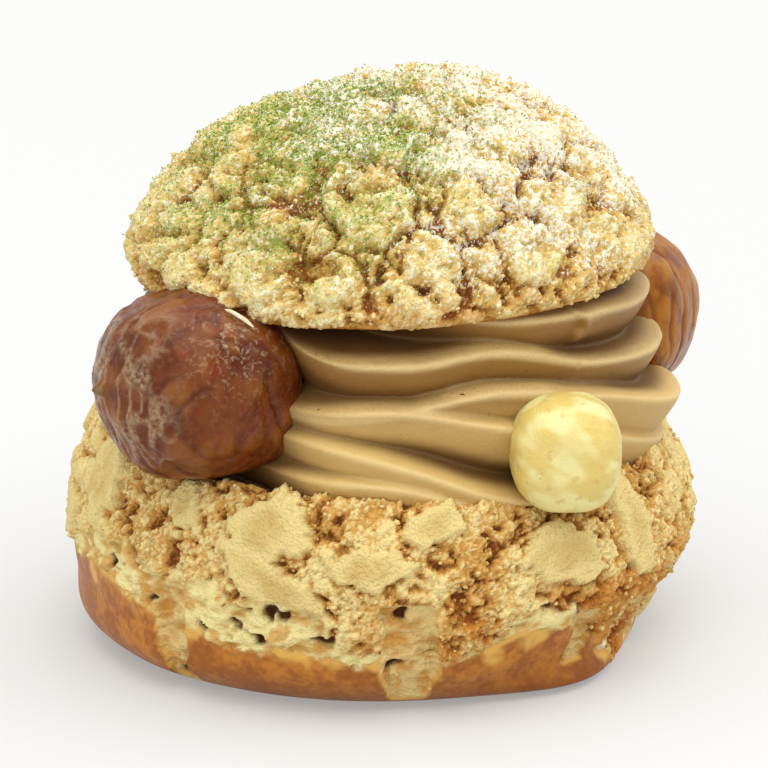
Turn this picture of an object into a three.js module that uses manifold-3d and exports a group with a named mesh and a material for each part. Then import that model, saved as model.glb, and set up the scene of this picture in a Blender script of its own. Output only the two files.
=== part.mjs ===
// A choux bun baked under a craquelin crust, cut through, filled with piped chestnut cream
// and dressed with two candied chestnuts and a hazelnut.
// Millimetres, +Z up. The front of the bun faces -Y, and the origin is on the table under its middle.
import * as THREE from "three";
import { mergeVertices } from "three/addons/utils/BufferGeometryUtils.js";
import Module from "manifold-3d";

const wasm = await Module();
wasm.setup();

// Driving dimensions.
const GAP = 0.3; // clearance between touching pieces

const base = {
  footRadius: 29.6,
  bellyRadius: 40.2,
  bellyHeight: 14.5,
  rimRadius: 35.7,
  rimHeight: 27.4,
  seatRadius: 33,
  seatHeight: 26.2,
  skinHeight: 10.4, // smooth golden skin reaches this high, crust covers the rest
  columns: 92,
  wallRows: 18,
};

// Where the base departs from round: azimuth and width in degrees.
const uneven = {
  raise: { azimuth: 170, height: 1.1 }, // the rim is higher on the left
  dent: { azimuth: -52, width: 13, depth: 1.7 }, // and pressed down under the hazelnut
  tuck: { azimuth: -12, width: 50, share: 0.1 }, // the wall is drawn in low on the right
  corner: { azimuth: -47, width: 17, share: 0.11 }, // the foot spreads to the front right
  swell: { azimuth: -168, width: 45, share: 0.05 }, // and to the left
};

const cap = {
  radius: 33.9,
  height: 22.6,
  undersideRadius: 32.4,
  lipHeight: 1.9, // the widest ring stands this far above the cut face
  apexShift: 3, // the dome's top leans to the right
  centre: [1.2, 0, 49.5],
  pitchDeg: 2, // front edge lower
  rollDeg: -1.6, // right edge higher
  detail: 11,
};

const crust = {
  thickness: 0.5,
  flakeSize: 6.4,
  flakeRise: 1.1,
  flakeShare: 0.62, // share of the crust that kept its flat flakes
  capFlakeSize: 7.4,
  capFlakeRise: 1.8,
  crumbRise: 0.45,
  crumbSize: 2.6,
};

const cream = {
  bottom: base.seatHeight - 0.6,
  top: 52.6,
  lean: 0.35, // how fast the surface falls back below a crest, and how that grows
  bow: 0.06,
  lipRounding: 0.15,
  valleyRounding: 0.25,
  columns: 72,
  rows: 24,
};

const smear = { azimuth: -122, width: 13 }; // the left chestnut smeared the folds here

const leftChestnut = { centre: [-22.2, -24, 39.4], radii: [12.2, 12.3, 11.4], turnDeg: 25 };
const rightChestnut = { centre: [29.4, 14, 38.6], radii: [12, 12.8, 10.8], turnDeg: -20 };
const chestnutDetail = 5;
const chestnutSquareness = 2.6; // 2 would be an ellipsoid
const hazelnut = { centre: [22.6, -30.4, 32.3], radii: [6.9, 6.9, 7.4], detail: 4 };

// Azimuths are in degrees from +X towards +Y, so the front is at -90 and the right at 0.

// The largest flakes in front: azimuth, height, half width and half height in mm, tilt in degrees.
const frontFlakes = [
  { azimuth: -155, height: 24.4, halfWidth: 4.6, halfHeight: 4.6, tilt: 0 },
  { azimuth: -129, height: 25.0, halfWidth: 2.0, halfHeight: 2.6, tilt: 10 },
  { azimuth: -111, height: 23.7, halfWidth: 4.8, halfHeight: 3.6, tilt: 0 },
  { azimuth: -109, height: 17.4, halfWidth: 8.6, halfHeight: 2.6, tilt: -31 },
  { azimuth: -92, height: 20.2, halfWidth: 5.0, halfHeight: 2.4, tilt: 0 },
  { azimuth: -80, height: 24.7, halfWidth: 4.4, halfHeight: 2.0, tilt: 12 },
  { azimuth: -56, height: 19.6, halfWidth: 6.2, halfHeight: 3.2, tilt: -6 },
  { azimuth: -37, height: 20.5, halfWidth: 2.8, halfHeight: 5.4, tilt: 0 },
];

// Places where the skin tore open as the bun rose.
const tearDepth = 1.1;
const tears = [
  { azimuth: -131, low: 2, high: 16, halfWidth: 2.8 },
  { azimuth: -85, low: 2, high: 16, halfWidth: 4.4 },
  { azimuth: -48, low: 4, high: 12, halfWidth: 2.4 },
  { azimuth: 12, low: 3, high: 15, halfWidth: 3.2 },
  { azimuth: 74, low: 2, high: 14, halfWidth: 4.2 },
  { azimuth: 128, low: 4, high: 16, halfWidth: 2.8 },
  { azimuth: 170, low: 2, high: 13, halfWidth: 3.6 },
];

// The cream's folds, from the lowest up: the radius and the height of each crest at these azimuths. They
// climb once round the bun, and the line where they start and end lies behind the left chestnut. The
// shelf is how far the surface falls back for each mm above the crest.
const stations = [-145, -125, -105, -85, -65, -40, -12, 60, 140, 215];
const folds = [
  {
    shelf: 4,
    radii: [34.5, 35.2, 36, 36.2, 36, 36, 36, 35.4, 35.2, 34.8],
    heights: [30.6, 30.2, 29.6, 28.8, 24.5, 20, 18, 20, 24, 28],
  },
  {
    shelf: 3,
    radii: [34, 35, 36, 36.2, 36.4, 36.2, 36.5, 35.2, 34.8, 34.4],
    heights: [34.6, 34.6, 34.2, 31.4, 26.8, 24, 21.5, 23, 27, 31],
  },
  {
    shelf: 5,
    radii: [33.5, 34, 35.2, 35.4, 35.6, 36, 37.2, 35, 34.4, 34],
    heights: [38.4, 38, 37.8, 38.2, 35.6, 32, 27.8, 29, 32, 35.5],
  },
  {
    shelf: 4,
    radii: [32.5, 32.5, 33.2, 34.4, 35, 36.8, 39.2, 35, 33.8, 33.2],
    heights: [39.2, 38.4, 37, 38.3, 39.8, 37.2, 33.3, 35, 37, 40],
  },
  {
    shelf: 5,
    radii: [32.5, 33, 34, 34.2, 34, 34.6, 36.6, 34.2, 33.5, 33],
    heights: [50.5, 50.6, 44.7, 43.8, 44.7, 41.2, 39.9, 41, 43.5, 46],
  },
  {
    shelf: 5,
    radii: [29, 28, 28.4, 30.6, 32.4, 33.8, 34.8, 34, 33.2, 31.5],
    heights: [56, 55, 53, 51, 48.4, 47.5, 46.2, 47.5, 49.5, 51.5],
  },
];

// Where the chestnuts press into the cream, and where it was piped short on the left.
const presses = [
  { azimuth: -128, depth: 4.6, width: 21 },
  { azimuth: 28, depth: 3.2, width: 20 },
  { azimuth: 176, depth: 3, width: 26 },
];

const rad = THREE.MathUtils.degToRad;
const smooth = THREE.MathUtils.smoothstep;
const mix = THREE.MathUtils.lerp;

// A repeatable random number from 0 to 1 for each whole-number place.
function chance(i, j, k, salt) {
  let h = Math.imul(i, 0x27d4eb2d) ^ Math.imul(j, 0x165667b1);
  h ^= Math.imul(k, 0x1b873593) ^ Math.imul(salt, 0x85ebca6b);
  h = Math.imul(h ^ (h >>> 15), 0x2c1b3c6d);
  h = Math.imul(h ^ (h >>> 12), 0x297a2d39);
  return ((h ^ (h >>> 15)) >>> 0) / 2 ** 32;
}

// Smooth unevenness from -1 to 1, with lumps of about the given size.
function lumps(p, size, salt) {
  const [x, y, z] = [p.x / size, p.y / size, p.z / size];
  const [i, j, k] = [Math.floor(x), Math.floor(y), Math.floor(z)];
  const [u, v, w] = [smooth(x - i, 0, 1), smooth(y - j, 0, 1), smooth(z - k, 0, 1)];
  const along = (b, c) => mix(chance(i, j + b, k + c, salt), chance(i + 1, j + b, k + c, salt), u);
  return 2 * mix(mix(along(0, 0), along(1, 0), v), mix(along(0, 1), along(1, 1), v), w) - 1;
}

// Craquelin breaks into flat flakes, one round each scattered point: 1 on a flake, 0 in a crack or a
// bare place.
function flakes(p, size, share, salt, soft) {
  const bent = p.clone().multiplyScalar(1 / size);
  bent.x += 0.16 * lumps(p, size * 0.45, salt + 1);
  bent.y += 0.16 * lumps(p, size * 0.45, salt + 2);
  bent.z += 0.16 * lumps(p, size * 0.45, salt + 3);
  const cell = bent.clone().floor();
  let [nearest, second, kept] = [9, 9, 0];
  for (let i = cell.x - 1; i <= cell.x + 1; i++)
    for (let j = cell.y - 1; j <= cell.y + 1; j++)
      for (let k = cell.z - 1; k <= cell.z + 1; k++) {
        const [a, b, c] = [4, 5, 6].map((n) => chance(i, j, k, salt + n));
        const distance = Math.hypot(i + a - bent.x, j + b - bent.y, k + c - bent.z);
        if (distance < nearest) {
          [nearest, second] = [distance, nearest];
          kept = chance(i, j, k, salt + 7) < share ? 1 : 0;
        } else if (distance < second) second = distance;
      }
  return kept * smooth(second - nearest, 0.08, soft);
}

// The relief of bare craquelin: flakes stand on a crumbly layer.
function craquelin(p, onFlake, rise) {
  const crumb = crust.crumbRise * lumps(p, crust.crumbSize, 11);
  return crust.thickness + onFlake * rise + (1 - 0.7 * onFlake) * crumb;
}

// A closed geometry with shared vertices, moved by place(vertex) and then outward by relief(vertex).
function formed(geometry, place, relief, grow = 0) {
  for (const name of ["normal", "uv"]) geometry.deleteAttribute(name);
  const merged = mergeVertices(geometry, 1e-4);
  const at = merged.getAttribute("position");
  const p = new THREE.Vector3();
  const n = new THREE.Vector3();
  for (let i = 0; i < at.count; i++) at.setXYZ(i, ...place(p.fromBufferAttribute(at, i)));
  merged.computeVertexNormals();
  const normals = merged.getAttribute("normal").clone();
  for (let i = 0; i < at.count; i++) {
    p.fromBufferAttribute(at, i);
    n.fromBufferAttribute(normals, i);
    p.addScaledVector(n, relief(p, n) + grow);
    at.setXYZ(i, ...p);
  }
  merged.deleteAttribute("normal");
  return merged;
}

// A mesh's shape in the world, as a solid.
function solidOf(geometry, matrix = new THREE.Matrix4()) {
  const world = geometry.clone().applyMatrix4(matrix);
  return new wasm.Manifold(
    new wasm.Mesh({
      numProp: 3,
      vertProperties: world.getAttribute("position").array,
      triVerts: new Uint32Array(world.index.array),
    }),
  );
}

// The geometry with the cutters taken away. A cutter is a geometry and the matrix that places it here.
function cutBy(geometry, cutters) {
  let left = solidOf(geometry);
  for (const [cutter, matrix] of cutters) left = left.subtract(solidOf(cutter, matrix));
  const whole = left.decompose().sort((a, b) => b.volume() - a.volume())[0];
  const made = whole.getMesh();
  return new THREE.BufferGeometry()
    .setAttribute("position", new THREE.BufferAttribute(new Float32Array(made.vertProperties), 3))
    .setIndex(new THREE.BufferAttribute(new Uint32Array(made.triVerts), 1));
}

const azimuthOf = (p) => THREE.MathUtils.radToDeg(Math.atan2(p.y, p.x));

// The difference between two azimuths, from -180 to 180.
const turnBetween = (a, b) => THREE.MathUtils.euclideanModulo(a - b + 180, 360) - 180;

// 1 at the middle of a place on the wall, falling away over its width.
const near = (azimuth, place) => Math.exp(-((turnBetween(azimuth, place.azimuth) / place.width) ** 2));

// 1 inside a flake that was placed by hand, falling to 0 past its ragged edge.
function onPlacedFlake(p) {
  let most = 0;
  for (const f of frontFlakes) {
    const across = rad(turnBetween(azimuthOf(p), f.azimuth)) * base.bellyRadius;
    const up = p.z - f.height;
    if (Math.abs(across) > 12) continue;
    const [c, s] = [Math.cos(rad(f.tilt)), Math.sin(rad(f.tilt))];
    const reach = Math.hypot((across * c + up * s) / f.halfWidth, (up * c - across * s) / f.halfHeight);
    most = Math.max(most, 1 - smooth(reach + 0.14 * lumps(p, 2.2, 31), 0.86, 1.14));
  }
  return most;
}

// How far the skin is torn at a point: 0 where whole, 1 in the middle of a tear.
function torn(p) {
  let most = 0;
  for (const t of tears) {
    const across = Math.abs(rad(turnBetween(azimuthOf(p), t.azimuth))) * base.bellyRadius;
    const side = 1 - smooth(across + 0.8 * lumps(p, 3, 41), t.halfWidth * 0.55, t.halfWidth * 1.15);
    const ends = smooth(p.z, t.low - 1, t.low + 1) * (1 - smooth(p.z, t.high - 2, t.high + 1));
    most = Math.max(most, side * ends);
  }
  return most;
}

// The lower half: a bowl-shaped wall from a flat foot to a rim, and the seat that the cream stands on.
function baseGeometry(grow = 0) {
  const wall = new THREE.SplineCurve(
    [
      [base.footRadius, 0],
      [34.7, 1.5],
      [38.4, 5],
      [39.9, 9.6],
      [base.bellyRadius, base.bellyHeight],
      [39.3, 20.2],
      [37.7, 24.2],
      [base.rimRadius, base.rimHeight],
      [34.4, 26.9],
      [base.seatRadius, base.seatHeight],
    ].map(([r, z]) => new THREE.Vector2(r, z)),
  );
  const seat = new THREE.Vector2(0, base.seatHeight);
  const profile = [new THREE.Vector2(0, 0), ...wall.getSpacedPoints(base.wallRows), seat];
  const lathe = new THREE.LatheGeometry(profile, base.columns).rotateX(Math.PI / 2);
  const place = (p) => {
    const onRim = smooth(Math.hypot(p.x, p.y), 30, base.rimRadius) * smooth(p.z, 16, base.rimHeight);
    const azimuth = azimuthOf(p);
    const raise = uneven.raise.height * Math.cos(rad(turnBetween(azimuth, uneven.raise.azimuth)));
    const dent = uneven.dent.depth * near(azimuth, uneven.dent);
    const low = smooth(p.z, 0, 4) * (1 - smooth(p.z, 7, 15));
    const tuck = uneven.tuck.share * low * near(azimuth, uneven.tuck);
    const corner = uneven.corner.share * (1 - smooth(p.z, 0, 5)) * near(azimuth, uneven.corner);
    const swell = uneven.swell.share * (1 - smooth(p.z, 2, 10)) * near(azimuth, uneven.swell);
    const wide = 1 - tuck + corner + swell;
    return [p.x * wide, p.y * wide, p.z + onRim * (raise - dent)];
  };
  const relief = (p) => {
    const radius = Math.hypot(p.x, p.y);
    if (p.z < 0.4 || radius < base.seatRadius + 0.5) return 0;
    const skinTop = base.skinHeight + 1.8 * lumps(p, 9, 21);
    const onCrust = smooth(p.z, skinTop - 0.8, skinTop + 0.8) * (1 - torn(p));
    const behind = smooth(Math.abs(turnBetween(azimuthOf(p), -92)), 62, 76);
    const scattered = flakes(p, crust.flakeSize, crust.flakeShare, 100, 0.26);
    const onFlake = Math.max(onPlacedFlake(p), behind * scattered);
    const held = smooth(p.z, 0.4, 4) * smooth(radius, base.seatRadius + 0.5, base.rimRadius);
    const crusted = onCrust * (craquelin(p, onFlake, crust.flakeRise) - 0.3);
    const sunk = tearDepth * torn(p) * (1 + lumps(p, 3, 23) / 2);
    return held * (0.5 * lumps(p, 14, 22) + crusted - sunk);
  };
  return formed(lathe, place, relief, grow);
}

// The upper half, in its own frame: a dome on a flat cut face at z = 0.
function capGeometry(grow = 0) {
  const undersideShare = 0.1;
  const lipShare = 0.2;
  const place = (p) => {
    const share = (1 + p.z) / 2;
    const azimuth = Math.atan2(p.y, p.x);
    let [radius, height] = [0, 0];
    if (share < undersideShare) {
      radius = cap.undersideRadius * Math.sqrt(share / undersideShare);
    } else if (share < lipShare) {
      const turn = ((share - undersideShare) / (lipShare - undersideShare)) * (Math.PI / 2);
      radius = mix(cap.undersideRadius, cap.radius, Math.sin(turn));
      height = cap.lipHeight * (1 - Math.cos(turn));
    } else {
      const up = (share - lipShare) / (1 - lipShare);
      radius = cap.radius * (Math.sqrt(1 - up * up) - 0.05 * Math.sin(Math.PI * up));
      height = mix(cap.lipHeight, cap.height, up);
    }
    const lean = cap.apexShift * (height / cap.height) ** 3;
    return [radius * Math.cos(azimuth) + lean, radius * Math.sin(azimuth), height];
  };
  const relief = (p, n) => {
    if (n.z < -0.9) return 0;
    const held = smooth(p.z, -0.2, 0.8);
    const onFlake = flakes(p, crust.capFlakeSize, 0.85, 200, 0.42) * smooth(p.z, 1, 3.5);
    return held * (0.7 * lumps(p, 12, 24) + craquelin(p, onFlake, crust.capFlakeRise) - 0.9);
  };
  return formed(new THREE.IcosahedronGeometry(1, cap.detail), place, relief, grow);
}

// A smooth line through values at the stations.
function atStations(values, azimuth) {
  let i = 0;
  while (i < stations.length - 2 && azimuth > stations[i + 1]) i++;
  const width = stations[i + 1] - stations[i];
  const t = (azimuth - stations[i]) / width;
  const slope = (n) => {
    const [a, b] = [Math.max(n - 1, 0), Math.min(n + 1, stations.length - 1)];
    return (values[b] - values[a]) / (stations[b] - stations[a]);
  };
  const [t2, t3] = [t * t, t * t * t];
  return (
    (2 * t3 - 3 * t2 + 1) * values[i] +
    (t3 - 2 * t2 + t) * width * slope(i) +
    (3 * t2 - 2 * t3) * values[i + 1] +
    (t3 - t2) * width * slope(i + 1)
  );
}

// The cream's radius at an azimuth and a height: the furthest out of its folds, each a rounded crest.
function creamRadius(azimuth, height) {
  const turned = stations[0] + THREE.MathUtils.euclideanModulo(azimuth - stations[0], 360);
  const rounding = cream.valleyRounding + near(azimuth, smear);
  let sum = 0;
  for (const fold of folds) {
    const above = height - atStations(fold.heights, turned);
    const lip = cream.lipRounding * fold.shelf;
    const shelf = fold.shelf * (Math.hypot(above, lip) - lip);
    const face = cream.lean * Math.abs(above) + cream.bow * above ** 2;
    const fall = above > 0 ? shelf : face;
    sum += Math.exp((atStations(fold.radii, turned) - fall - cream.bottom) / rounding);
  }
  const pressed = presses.reduce((total, press) => total + press.depth * near(azimuth, press), 0);
  return rounding * Math.log(sum) + cream.bottom - pressed;
}

// The cream's outline at an azimuth, from the bottom up, as a curve of radius and height.
function creamOutline(azimuth) {
  const steps = 160;
  const points = [];
  for (let i = 0; i <= steps; i++) {
    const height = mix(cream.bottom, cream.top, i / steps);
    points.push(new THREE.Vector2(creamRadius(azimuth, height), height));
  }
  return new THREE.SplineCurve(points);
}

function creamGeometry() {
  const profile = [new THREE.Vector2(0, cream.bottom)];
  for (let i = 0; i <= cream.rows; i++)
    profile.push(new THREE.Vector2(30, mix(cream.bottom, cream.top, i / cream.rows)));
  profile.push(new THREE.Vector2(0, cream.top));
  const lathe = new THREE.LatheGeometry(profile, cream.columns).rotateX(Math.PI / 2);
  const outlines = new Map();
  const outlineAt = (azimuth) => {
    const key = Math.round(azimuth * 100);
    if (!outlines.has(key)) outlines.set(key, creamOutline(azimuth));
    return outlines.get(key);
  };
  const place = (p) => {
    if (Math.hypot(p.x, p.y) < 1) return p;
    const share = (p.z - cream.bottom) / (cream.top - cream.bottom);
    const { x: radius, y: height } = outlineAt(azimuthOf(p)).getPointAt(share);
    const azimuth = Math.atan2(p.y, p.x);
    return [radius * Math.cos(azimuth), radius * Math.sin(azimuth), height];
  };
  const relief = (p) => (Math.hypot(p.x, p.y) < 1 ? 0 : 0.25 * lumps(p, 9, 51));
  return formed(lathe, place, relief);
}

// A candied chestnut, in its own frame: a blunt ellipsoid with shallow furrows from end to end.
function chestnutGeometry(nut, salt, grow = 0) {
  const place = (p) => {
    const powers = [p.x, p.y, p.z].map((v) => Math.abs(v) ** chestnutSquareness);
    const length = (powers[0] + powers[1] + powers[2]) ** (1 / chestnutSquareness);
    return [p.x, p.y, p.z].map((v, i) => (v / length) * nut.radii[i]);
  };
  const relief = (p) => {
    const lengthwise = Math.atan2(p.z, p.y) + 0.5 * lumps(p, 9, salt);
    const furrows = Math.cos(7 * lengthwise) * smooth(nut.radii[0] - Math.abs(p.x), 1, 6);
    return 0.55 * lumps(p, 7, salt + 1) + 0.22 * furrows;
  };
  return formed(new THREE.IcosahedronGeometry(1, chestnutDetail), place, relief, grow);
}

// A blanched hazelnut, in its own frame: round, a little longer upright, with faint flats.
function hazelnutGeometry(grow = 0) {
  const place = (p) => [p.x, p.y, p.z].map((v, i) => v * hazelnut.radii[i]);
  const relief = (p) => 0.22 * lumps(p, 4.5, 71);
  return formed(new THREE.IcosahedronGeometry(1, hazelnut.detail), place, relief, grow);
}

function piece(name, geometry, material, centre = [0, 0, 0], turn = [0, 0, 0]) {
  const mesh = new THREE.Mesh(geometry, material);
  mesh.name = name;
  mesh.position.set(...centre);
  mesh.rotation.set(...turn);
  mesh.updateMatrix();
  return mesh;
}

// Cuts a piece back from grown copies of its neighbours, which leaves a gap all round.
function clearOf(mesh, neighbours) {
  const toMesh = mesh.matrix.clone().invert();
  mesh.geometry = cutBy(
    mesh.geometry,
    neighbours.map(([grown, neighbour]) => [grown, toMesh.clone().multiply(neighbour.matrix)]),
  );
}

const materials = {
  choux: new THREE.MeshStandardMaterial({ color: "#c9964d", roughness: 0.75, metalness: 0 }),
  craquelin: new THREE.MeshStandardMaterial({ color: "#dcc48a", roughness: 0.9, metalness: 0 }),
  cream: new THREE.MeshStandardMaterial({ color: "#b8935a", roughness: 0.5, metalness: 0 }),
  chestnut: new THREE.MeshStandardMaterial({ color: "#7a4323", roughness: 0.2, metalness: 0 }),
  hazelnut: new THREE.MeshStandardMaterial({ color: "#eddc93", roughness: 0.45, metalness: 0 }),
};

const capTurn = [rad(cap.pitchDeg), rad(cap.rollDeg), 0];
const lower = piece("bun_base", baseGeometry(), materials.choux);
const upper = piece("bun_cap", capGeometry(), materials.craquelin, cap.centre, capTurn);
const filling = piece("cream", creamGeometry(), materials.cream);
const chestnuts = [
  ["chestnut_left", leftChestnut, 61],
  ["chestnut_right", rightChestnut, 65],
].map(([name, nut, salt]) => {
  const turn = [0, 0, rad(nut.turnDeg)];
  const mesh = piece(name, chestnutGeometry(nut, salt), materials.chestnut, nut.centre, turn);
  return { mesh, grown: chestnutGeometry(nut, salt, GAP) };
});
const nut = piece("hazelnut", hazelnutGeometry(), materials.hazelnut, hazelnut.centre);

const grownBase = baseGeometry(GAP);
const grownCap = capGeometry(GAP);
for (const { mesh } of chestnuts) {
  clearOf(mesh, [
    [grownBase, lower],
    [grownCap, upper],
  ]);
}
clearOf(nut, [[grownBase, lower]]);
clearOf(filling, [
  [grownBase, lower],
  [grownCap, upper],
  ...chestnuts.map(({ mesh, grown }) => [grown, mesh]),
  [hazelnutGeometry(GAP), nut],
]);

const pastry = new THREE.Group();
pastry.add(lower, filling, ...chestnuts.map(({ mesh }) => mesh), nut, upper);
export default pastry;
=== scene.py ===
import math

import bmesh
import bpy
import numpy as np
from mathutils import Matrix, Vector


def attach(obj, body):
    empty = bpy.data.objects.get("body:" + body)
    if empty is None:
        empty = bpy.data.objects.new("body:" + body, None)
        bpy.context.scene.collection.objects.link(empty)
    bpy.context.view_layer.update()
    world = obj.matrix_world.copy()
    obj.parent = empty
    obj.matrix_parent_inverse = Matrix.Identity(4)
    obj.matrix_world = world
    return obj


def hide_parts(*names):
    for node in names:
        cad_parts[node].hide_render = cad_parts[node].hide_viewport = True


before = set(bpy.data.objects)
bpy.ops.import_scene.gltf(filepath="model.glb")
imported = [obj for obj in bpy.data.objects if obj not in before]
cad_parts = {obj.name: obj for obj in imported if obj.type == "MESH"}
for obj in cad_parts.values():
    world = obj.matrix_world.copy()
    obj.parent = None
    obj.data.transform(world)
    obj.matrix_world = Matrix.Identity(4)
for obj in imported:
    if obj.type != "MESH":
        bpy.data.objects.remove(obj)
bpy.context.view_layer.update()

MM = 0.001

base = dict(belly=40.2, rim=35.7, rim_height=27.4, seat=33, seat_height=26.2, skin=10.4, columns=720,
            rows=128)

# Radius and height along the base's wall, from the foot up and in to the seat of the cream.
base_wall = [(29.6, 0), (34.7, 1.5), (38.4, 5), (39.9, 9.6), (40.2, 14.5), (39.3, 20.2), (37.7, 24.2),
             (35.7, 27.4), (34.4, 26.9), (33, 26.2)]

# Where the base departs from round.
raised = dict(azimuth=170, height=1.1)  # the rim is higher on the left
dent = dict(azimuth=-52, width=13, depth=1.7)  # and pressed down under the hazelnut
tuck = dict(azimuth=-12, width=50, share=0.1)  # the wall is drawn in low on the right
corner = dict(azimuth=-47, width=17, share=0.11)  # the foot spreads to the front right
swell = dict(azimuth=-168, width=45, share=0.05)  # and to the left

# Where the smooth skin reaches higher or lower than usual, and where bare choux shows above it.
skin_edge = [
    dict(azimuth=-158, width=26, rise=3.5),
    dict(azimuth=-24, width=20, rise=-9, power=4),
    dict(azimuth=-86, width=30, rise=-1.6),
]
bare_strip = dict(azimuth=-128, width=34, height=5, power=4)

cap = dict(radius=33.9, height=22.6, underside=32.4, lip=1.9, lean=3, pinch=0.05, centre=(1.2, 0, 49.5),
           pitch=2, roll=-1.6, columns=640, rows=138, under_rows=9)

# Bare hollows in the cap's crust and a broad smooth place, in the cap's own frame.
cap_hollows = [
    dict(centre=(-9.1, -29.0, 7.2), half_width=4.4, half_height=1.7),
    dict(centre=(-29.9, -16.2, 2.4), half_width=3.2, half_height=1.4),
    dict(centre=(26.1, -13.3, 9.7), half_width=1.8, half_height=1.2),
]
cap_plateau = dict(centre=(10.3, -18.9, 17.9), radius=5.2)

# The tea powder lies thickest here, and thins out over the width.
tea_place = dict(x=-10, y=-10, width=18)

# The share is how much of the crust kept its flakes, and a crack is measured in shares of a flake's size.
crust = dict(thickness=0.5, flake_size=6.4, flake_rise=1.1, flake_share=0.62, cap_flake_size=7.4,
             cap_flake_rise=1.1, cap_flake_share=0.85, crumb_rise=0.27, crumb_size=2.6, crack=(0.08, 0.26))

# The largest flakes in front: their place on the base, half their size in mm and their tilt in degrees.
front_flakes = [
    dict(azimuth=-155, height=24.4, half_width=4.6, half_height=4.6, tilt=0),
    dict(azimuth=-129, height=25.0, half_width=2.0, half_height=2.6, tilt=10),
    dict(azimuth=-111, height=23.7, half_width=4.8, half_height=3.6, tilt=0),
    dict(azimuth=-109, height=17.4, half_width=8.6, half_height=2.6, tilt=-31),
    dict(azimuth=-92, height=20.2, half_width=5.0, half_height=2.4, tilt=0),
    dict(azimuth=-80, height=24.7, half_width=4.4, half_height=2.0, tilt=12),
    dict(azimuth=-56, height=19.6, half_width=6.2, half_height=3.2, tilt=-6),
    dict(azimuth=-37, height=20.5, half_width=2.8, half_height=5.4, tilt=0),
]

# Where the skin tore open as the bun rose, from a lowest to a highest point.
tear_depth = 0.88
tears = [
    dict(azimuth=-131, low=2, high=16, half_width=2.8),
    dict(azimuth=-85, low=2, high=16, half_width=4.4),
    dict(azimuth=-48, low=4, high=12, half_width=2.4),
    dict(azimuth=12, low=3, high=15, half_width=3.2),
    dict(azimuth=74, low=2, high=14, half_width=4.2),
    dict(azimuth=128, low=4, high=16, half_width=2.8),
    dict(azimuth=170, low=2, high=13, half_width=3.6),
]

# Below a crest the cream falls back by the lean for each mm, and faster by the bow. Lip and valley are
# how round the crests and the creases are.
cream = dict(bottom=25.6, top=52.6, lean=0.35, bow=0.06, lip=0.15, valley=0.25, columns=560, rows=170)

# The cream's folds, from the lowest up: the radius and the height of each crest at these azimuths. The
# shelf is how far the surface falls back for each mm above the crest.
stations = [-145, -125, -105, -85, -65, -40, -12, 60, 140, 215]
folds = [
    dict(shelf=4,
         radii=[34.5, 35.2, 36, 36.2, 36, 36, 36, 35.4, 35.2, 34.8],
         heights=[30.6, 30.2, 29.6, 28.8, 24.5, 20, 18, 20, 24, 28]),
    dict(shelf=3,
         radii=[34, 35, 36, 36.2, 36.4, 36.2, 36.5, 35.2, 34.8, 34.4],
         heights=[34.6, 34.6, 34.2, 31.4, 26.8, 24, 21.5, 23, 27, 31]),
    dict(shelf=5,
         radii=[33.5, 34, 35.2, 35.4, 35.6, 36, 37.2, 35, 34.4, 34],
         heights=[38.4, 38, 37.8, 38.2, 35.6, 32, 27.8, 29, 32, 35.5]),
    dict(shelf=4,
         radii=[32.5, 32.5, 33.2, 34.4, 35, 36.8, 39.2, 35, 33.8, 33.2],
         heights=[39.2, 38.4, 37, 38.3, 39.8, 37.2, 33.3, 35, 37, 40]),
    dict(shelf=5,
         radii=[32.5, 33, 34, 34.2, 34, 34.6, 36.6, 34.2, 33.5, 33],
         heights=[50.5, 50.6, 44.7, 43.8, 44.7, 41.2, 39.9, 41, 43.5, 46]),
    dict(shelf=5,
         radii=[29, 28, 28.4, 30.6, 32.4, 33.8, 34.8, 34, 33.2, 31.5],
         heights=[56, 55, 53, 51, 48.4, 47.5, 46.2, 47.5, 49.5, 51.5]),
]
smear = dict(azimuth=-122, width=13)  # the left chestnut smeared the folds here
presses = [
    dict(azimuth=-128, depth=4.6, width=21),
    dict(azimuth=28, depth=3.2, width=20),
    dict(azimuth=176, depth=3.0, width=26),
]
# The end of a ribbon of cream laps over the top fold: it slants above a height and stands out from there.
curl = dict(azimuth=-42.5, slant=0.9, slant_from=46, radius=34, rise=1.3, tail=3.5)

# Whorl, nib, dark and dusty are places in the chestnut's own frame.
chestnut_squareness = 2.6
furrow_radii = (4.6, 8.2, 11, 14, 17)
left_chestnut = dict(centre=(-22.2, -24, 39.4), radii=(12.2, 12.3, 11.4), turn=25, salt=61, pucker=0.2,
                     whorl=(-2.5, -11.5, -2), nib=(-12.2, 0, 0.6), dark=(9, -7, 6), dusty=(0.5, -9.5, 7))
right_chestnut = dict(centre=(29.4, 14, 38.6), radii=(12, 12.8, 10.8), turn=-20, salt=65, pucker=0.08,
                      whorl=(3, -12, 1), nib=None, dark=(1, -10, 2), dusty=(11.5, 1, 3))
hazelnut = dict(centre=(22.6, -30.4, 32.3), radii=(6.9, 6.9, 7.4), squareness=2.55)

# A grain of powder: its six corners and the triangles between them.
diamond = np.array([(0, 0, -0.5), (0, 0, 0.5), (0, -0.5, 0), (0, 0.5, 0), (-0.5, 0, 0), (0.5, 0, 0)])
diamond_sides = np.array([(2, 4, 0), (2, 0, 5), (2, 5, 1), (4, 2, 1),
                          (4, 1, 3), (0, 4, 3), (5, 0, 3), (1, 5, 3)])


# Patterns over the surfaces

def smooth(x, low, high):
    """From 0 at low to 1 at high, with soft ends."""
    t = np.clip((x - low) / (high - low), 0, 1)
    return t * t * (3 - 2 * t)


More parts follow.
